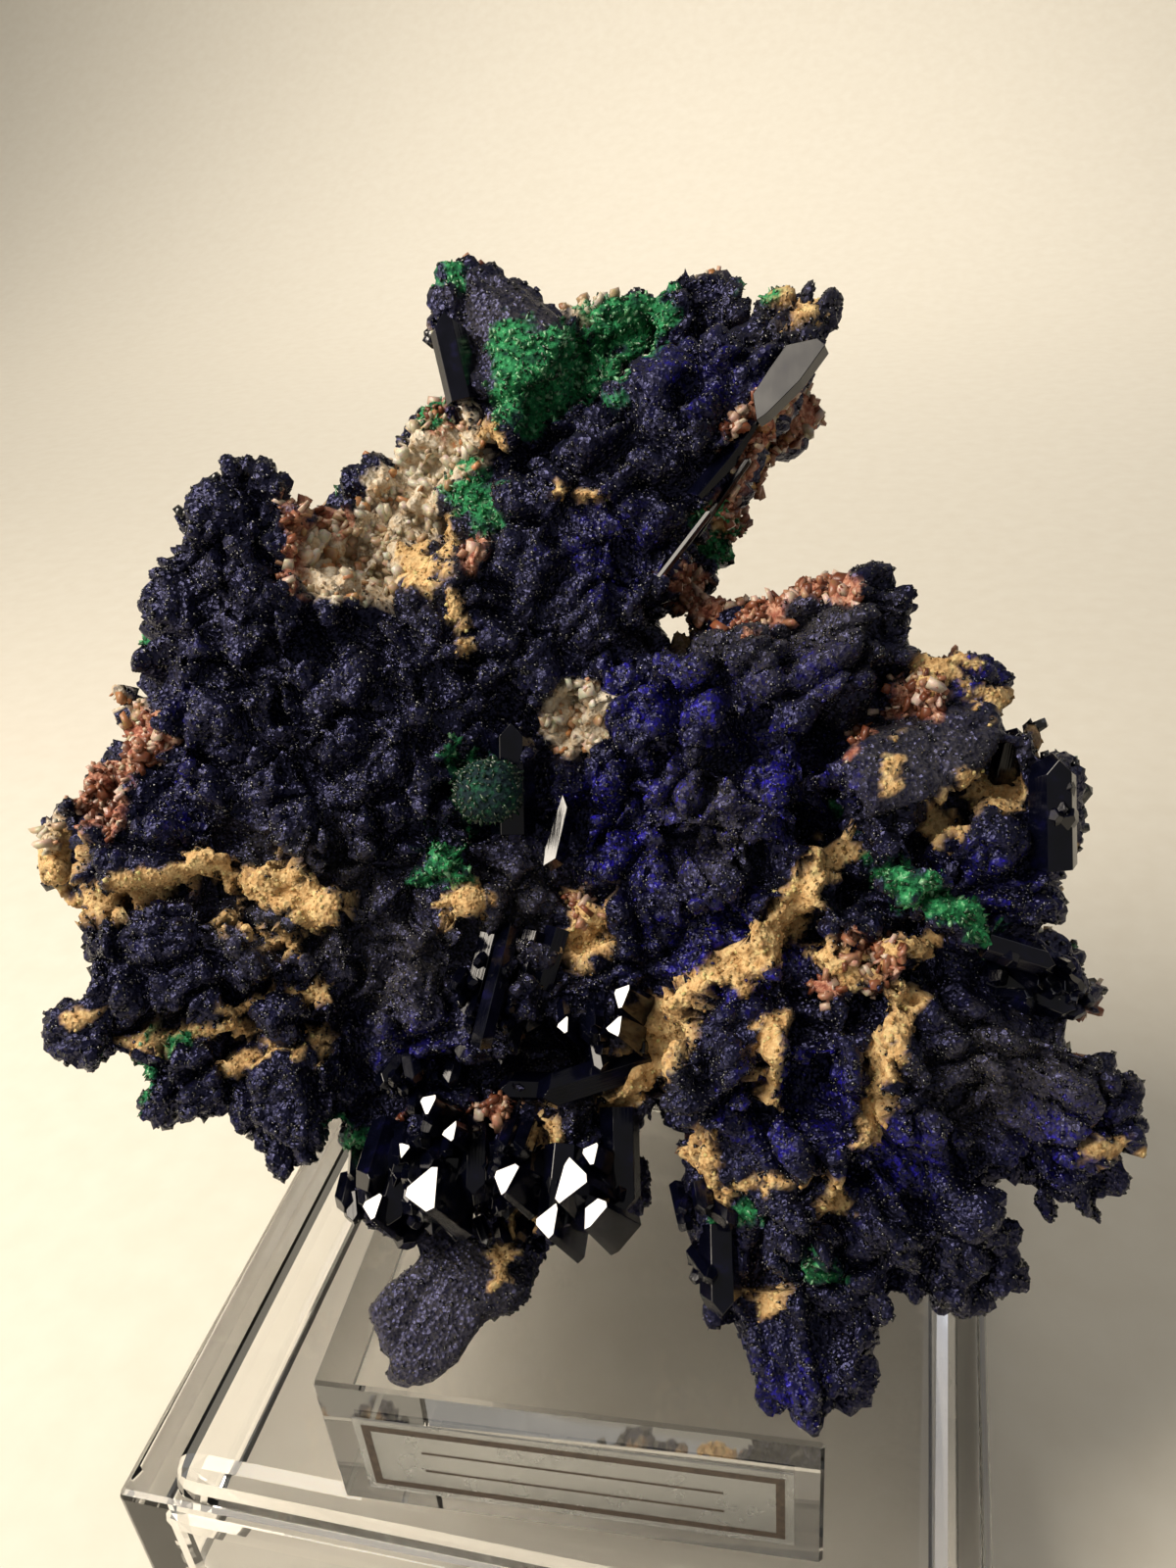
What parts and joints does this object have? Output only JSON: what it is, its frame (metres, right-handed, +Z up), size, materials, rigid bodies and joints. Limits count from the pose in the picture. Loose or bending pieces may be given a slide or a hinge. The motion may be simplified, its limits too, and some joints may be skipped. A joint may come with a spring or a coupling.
{
  "type": "azurite mineral specimen on display stand",
  "caption": "Cluster of azurite crystals with malachite, ochre crust and pale matrix, leaning on a clear block that stands on a clear moulded base with a small label.",
  "frame": {"origin": "on the ground, under the middle of the whole object's box", "axes": "+Z up, -Y towards the side with the label, +X to the right as the label is read"},
  "size_m": [0.1154, 0.0914, 0.1332],
  "materials": {
    "azurite_cluster": "satin",
    "display_block": "polished",
    "display_base": "polished",
    "label": "matte"
  },
  "bodies": {
    "root": {"azurite_cluster": "azurite_cluster", "display_block": "display_block", "display_base": "display_base", "label": "label"}
  },
  "joints": []
}
